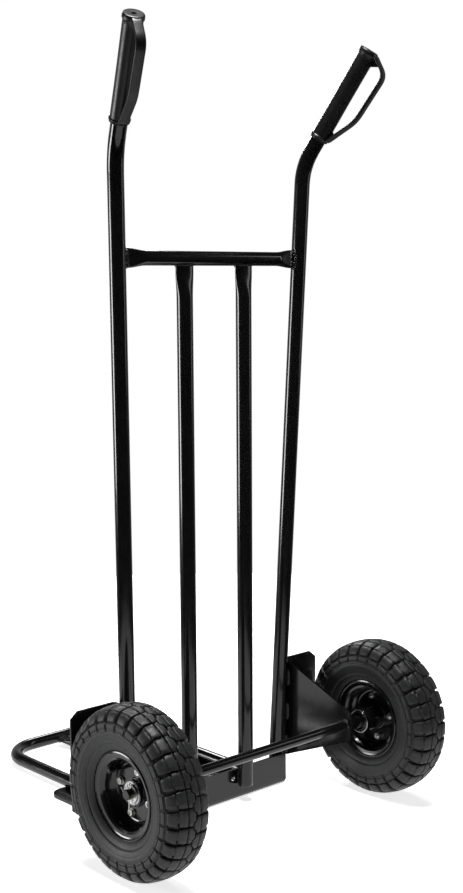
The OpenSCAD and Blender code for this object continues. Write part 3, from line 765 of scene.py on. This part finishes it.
# ---------------------------------------------------------------- weld beads
def welds(side_name, flip):
    """Beads, spatter and stitches on one side of the frame."""
    shape = Shape()
    # crossbar end round the upright
    loop = []
    for k in range(33):
        a = TAU * k / 32 + 0.4
        y = CROSS_Y + 5.2 * math.copysign(abs(math.cos(a)) ** 0.7, math.cos(a))
        z = CROSS_Z + (FLARE + 0.2) * math.copysign(abs(math.sin(a)) ** 0.8, math.sin(a))
        loop.append(Vector((inner_face(y, z) - 0.3, y, z)))
    bead(shape, loop, 2.2, rough=0.25)
    for _ in range(16):
        z = CROSS_Z + FLARE * rng.uniform(-0.85, 0.85)
        y = CROSS_Y + rng.uniform(4.2, 5.6)
        blob(shape, (inner_face(y, z) - rng.uniform(0.3, 5.0), y + 0.3, z), rng.uniform(1.3, 2.6))
    # inner rail under the crossbar, both faces
    x = mids("inner_tube_left")[0].x
    for off in (3.9, -3.9):
        y = CROSS_Y + RAIL_OFF + off
        z = CROSS_Z - math.sqrt(max(1.0, BAR_R ** 2 - (y - CROSS_Y) ** 2)) - 0.5
        bead(shape, [(x - 16.5, y, z), (x, y + math.copysign(0.5, off), z - 0.3), (x + 16.5, y, z)], 1.9,
             rough=0.25)
        for _ in range(4):
            blob(shape, (x + rng.uniform(-13, 13), y + math.copysign(1.2, off), z - rng.uniform(0.2, 1.8)),
                 rng.uniform(1.0, 1.7))
    # inner rail on the flange
    plate_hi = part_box("toe_plate")[1]
    back, top = plate_hi.y / MM, plate_hi.z / MM
    foot_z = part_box("inner_tube_left")[0].z / MM
    for s in (-1, 1):
        bead(shape, [(x + s * 6.4, back + 1.2, foot_z + 2), (x + s * 6.2, back + 1.2, top - 1)], 1.7)
    bead(shape, [(x - 6, back + 1.2, top), (x, back - 0.4, top + 0.4), (x + 6, back + 1.2, top)], 2.0)
    # upright on the toe plate
    r = TUBE_R + 0.6
    bead(shape, [Vector((FOOT_X + r * math.cos(a), r * math.sin(a), 6.0)) for a in sweep(62, 236, 24)], 2.1)
    # axle in the bracket web
    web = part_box("bracket_left")[0].x / MM
    bead(shape, [about_axle(web - 0.4, 9.0, a) for a in sweep(-15, 210, 24)], 2.2, rough=0.2)
    # pivot lugs on the toe plate
    lug_lo, lug_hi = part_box("pivot_lugs")
    y0, y1, z = lug_lo.y / MM + 2, lug_hi.y / MM - 3, lug_lo.z / MM + 0.6
    for lug_x in (lug_hi.x / MM + 0.3, lug_hi.x / MM - 4.3):
        bead(shape, [(lug_x, y0, z), (lug_x, y1, z)], 1.6)
    shape.piece("weld_beads_" + side_name, "black_paint", "frame", crease=40, flip=flip)
    # stitches between upright and web
    stitch = Shape()
    web_in = web - 0.4
    for z in (66, 126, 186):
        y0 = BEND.y * z / BEND.z + 10.6
        for k in range(2):
            bead(stitch, [(web_in - 1.8 + k * 0.6, y0 - 1.8 + k * 1.9, z - 15 + k * 3),
                          (web_in - 1.8 + k * 0.6, y0 - 1.5 + k * 1.9, z),
                          (web_in - 1.8 + k * 0.6, y0 - 1.2 + k * 1.9, z + 15 - k * 3)], 2.4 - 0.9 * k,
                 rough=0.06)
    stitch.piece("stitch_welds_" + side_name, "black_paint", "frame", ["bracket_weld_" + side_name], 40, flip)


def loop_welds():
    """Beads at both ends of the loop's middle bar and at both ends of its sleeve."""
    shape = Shape()
    lo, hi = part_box("toe_loop")
    front = lo.y / MM + LOOP_R
    z = mids("loop_mid_bar")[0].z
    pivot = mids("pivot_rod")[0]
    for s in (-1, 1):
        end_y, end_z = front + 11.0, z + s * 3.8
        bead(shape, [(-11.5, end_y, end_z), (0, front + 11.4, z + s * 4.4), (11.5, end_y, end_z)], 1.7)
        arm = hi.x / MM - 2 * LOOP_R - 0.4
        r = 9.6
        bead(shape, [Vector((s * arm, pivot.y + r * math.cos(a), pivot.z + r * math.sin(a)))
                     for a in sweep(20, 320, 30)], 1.5)
    r = MID_BAR_R + 0.4
    bead(shape, [Vector((r * math.sin(a), pivot.y - 9.2, z + r * math.cos(a)))
                 for a in sweep(-115, 230, 24)], 1.7)
    shape.piece("loop_weld_beads", "black_paint", "toe_loop", crease=40)


# both sides are drawn at +X and the right one is mirrored; random draws follow this order
for side_name, flip in (("left", False), ("right", True)):
    for build in (tyre, rim_fixings, hub_seam, bearing_lip, valve, cotter, inner_tube, grip, welds):
        build(side_name, flip)
crossbar()
loop_bar()
loop_welds()

# edges of the sheet parts, hubs and washers lose their sharpness under the coat
for name in ("toe_plate", "bracket_left", "bracket_right", "pivot_lugs", "hub_left", "hub_right",
             "outer_washer_left", "outer_washer_right", "inner_washer_left", "inner_washer_right"):
    flat = cad[name].modifiers.new("flat", "DECIMATE")
    flat.decimate_type = "DISSOLVE"
    flat.angle_limit = math.radians(1.0)
    edge = cad[name].modifiers.new("edge", "BEVEL")
    edge.width = 0.6 * MM
    edge.segments = 2
    edge.limit_method = "ANGLE"
    edge.angle_limit = math.radians(40)
    edge.harden_normals = True


# ---------------------------------------------------------------- stage and light
def studio():
    """White floor, bounce card, dark room with a pale sweep, four soft lights."""
    bpy.ops.mesh.primitive_circle_add(vertices=96, radius=1.9, fill_type="NGON", location=(0, 0.05, 0))
    floor = bpy.context.object
    floor.name = "floor"
    p = Look("floor_white", Roughness=0.9)
    p.set("Base Color", p.ramp(p.noise(3, 3), (0.93, 0.93, 0.93), (0.96, 0.96, 0.96)))
    p.shader.inputs["Emission Color"].default_value = (1, 1, 1, 1)
    p.shader.inputs["Emission Strength"].default_value = 0.75
    floor.data.materials.append(p.mat)
    floor.visible_glossy = False
    # a bounce card under the truck, seen only in the gloss
    bpy.ops.mesh.primitive_circle_add(vertices=96, radius=1.0, fill_type="NGON", location=(0.2, 0.1, -0.012))
    card = bpy.context.object
    card.name = "bounce_card"
    c = Look("card_white", Roughness=0.9, Emission_Strength=0.42)
    c.set("Emission Color", c.ramp(c.noise(2, 2), (0.85, 0.85, 0.85), (1, 1, 1)))
    card.data.materials.append(c.mat)
    card.visible_camera = card.visible_diffuse = card.visible_shadow = False

    world = bpy.data.worlds.new("studio")
    scene.world = world
    world.use_nodes = True
    tree = world.node_tree
    tree.nodes.clear()
    link = tree.links.new

    def ease(source, start, end, low, high):
        made = tree.nodes.new("ShaderNodeMapRange")
        made.interpolation_type = "SMOOTHSTEP"
        for key, value in zip(("From Min", "From Max", "To Min", "To Max"), (start, end, low, high)):
            made.inputs[key].default_value = value
        link(source, made.inputs["Value"])
        return made.outputs["Result"]

    def maths(kind, *values):
        made = tree.nodes.new("ShaderNodeMath")
        made.operation = kind
        for socket, value in zip(made.inputs, values):
            link(value, socket)
        return made.outputs["Value"]

    # plain white to the camera; in the gloss a pale sweep behind the truck, dark to the front and overhead
    coords = tree.nodes.new("ShaderNodeTexCoord").outputs["Generated"]
    toward = tree.nodes.new("ShaderNodeVectorMath")
    toward.operation = "DOT_PRODUCT"
    toward.inputs[1].default_value = Vector((look.x, look.y, 0)).normalized()
    link(coords, toward.inputs[0])
    split = tree.nodes.new("ShaderNodeSeparateXYZ")
    link(coords, split.inputs[0])
    height = maths("ABSOLUTE", split.outputs["Z"])
    strength = maths("MULTIPLY", ease(toward.outputs["Value"], 0.1, 0.85, 0.03, 0.36),
                     ease(height, 0.2, 0.6, 1, 0.06))
    soft = tree.nodes.new("ShaderNodeBackground")
    soft.inputs["Color"].default_value = (1, 1, 1, 1)
    link(strength, soft.inputs["Strength"])
    plain = tree.nodes.new("ShaderNodeBackground")
    plain.inputs["Color"].default_value = (1, 1, 1, 1)
    seen = tree.nodes.new("ShaderNodeLightPath").outputs["Is Camera Ray"]
    mix = tree.nodes.new("ShaderNodeMixShader")
    link(seen, mix.inputs["Fac"])
    link(soft.outputs["Background"], mix.inputs[1])
    link(plain.outputs["Background"], mix.inputs[2])
    out = tree.nodes.new("ShaderNodeOutputWorld")
    link(mix.outputs["Shader"], out.inputs["Surface"])

    def softbox(name, place, size, power):
        data = bpy.data.lights.new(name, "AREA")
        data.shape = "RECTANGLE"
        data.size, data.size_y = size
        data.energy = power
        ob = bpy.data.objects.new(name, data)
        scene.collection.objects.link(ob)
        ob.location = place
        aim = Vector((0, 0.05, 0.55)) - Vector(place)
        ob.rotation_mode = "QUATERNION"
        ob.rotation_quaternion = aim.to_track_quat("-Z", "Y")

    softbox("box_left", (2.3, -2.0, 0.55), (0.9, 1.1), 42)
    softbox("box_right", (-2.4, 1.7, 1.4), (0.4, 2.2), 6)
    softbox("box_top", (0.15, 0.3, 3.0), (0.7, 0.9), 95)
    softbox("box_back", (-1.3, -2.3, 2.2), (1.2, 0.6), 45)


studio()
scene.view_settings.view_transform = "Standard"
scene.view_settings.look = "None"
